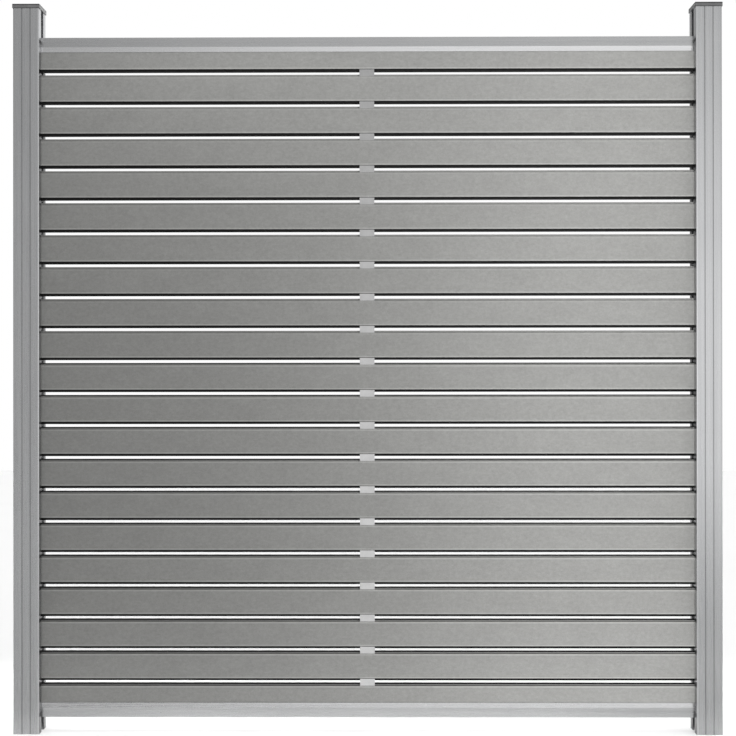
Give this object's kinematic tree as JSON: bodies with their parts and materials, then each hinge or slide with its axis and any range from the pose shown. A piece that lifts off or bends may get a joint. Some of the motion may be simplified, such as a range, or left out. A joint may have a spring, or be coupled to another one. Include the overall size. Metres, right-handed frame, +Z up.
{
  "type": "garden privacy screen",
  "caption": "Free-standing fence bay: two aluminium posts with caps hold rails and horizontal composite boards, spaced by small blocks, in channels down their inner faces.",
  "frame": {"origin": "on the ground, midway between the two post feet, on the screen's centre plane", "axes": "+X along the screen to the right as seen from the front, -Y the front, +Z up"},
  "size_m": [1.918, 0.074, 1.975],
  "materials": {
    "post_aluminium": "satin anodised extrusion",
    "rail_aluminium": "satin anodised extrusion",
    "composite_board": "brushed wood-plastic composite, grey",
    "spacer_plastic": "light grey moulded plastic",
    "cap_plastic": "fine-grained dark grey moulded plastic",
    "bracket_aluminium": "mill finish",
    "screw_steel": "stainless"
  },
  "bodies": {
    "frame": {"post_left": "post_aluminium", "post_right": "post_aluminium", "top_rail": "rail_aluminium", "bottom_rail": "rail_aluminium", "centre_spacers": "spacer_plastic", "end_spacers_left": "spacer_plastic", "end_spacers_right": "spacer_plastic", "rail_bracket_bottom_left": "bracket_aluminium", "rail_bracket_bottom_right": "bracket_aluminium", "rail_bracket_top_left": "bracket_aluminium", "rail_bracket_top_right": "bracket_aluminium", "bracket_screws_left": "screw_steel", "bracket_screws_right": "screw_steel", "slat_01": "composite_board", "slat_02": "composite_board", "slat_03": "composite_board", "slat_04": "composite_board", "slat_05": "composite_board", "slat_06": "composite_board", "slat_07": "composite_board", "slat_08": "composite_board", "slat_09": "composite_board", "slat_10": "composite_board", "slat_11": "composite_board", "slat_12": "composite_board", "slat_13": "composite_board", "slat_14": "composite_board", "slat_15": "composite_board", "slat_16": "composite_board", "slat_17": "composite_board", "slat_18": "composite_board", "slat_19": "composite_board", "slat_20": "composite_board", "slat_21": "composite_board"},
    "cap_left": {"post_cap_left": "cap_plastic"},
    "cap_right": {"post_cap_right": "cap_plastic"}
  },
  "joints": [
    {"name": "cap_left_lift", "type": "slide", "parent": "frame", "child": "cap_left", "axis": [0, 0, 1], "range_m": [0, 0.045]},
    {"name": "cap_right_lift", "type": "slide", "parent": "frame", "child": "cap_right", "axis": [0, 0, 1], "range_m": [0, 0.045]}
  ]
}
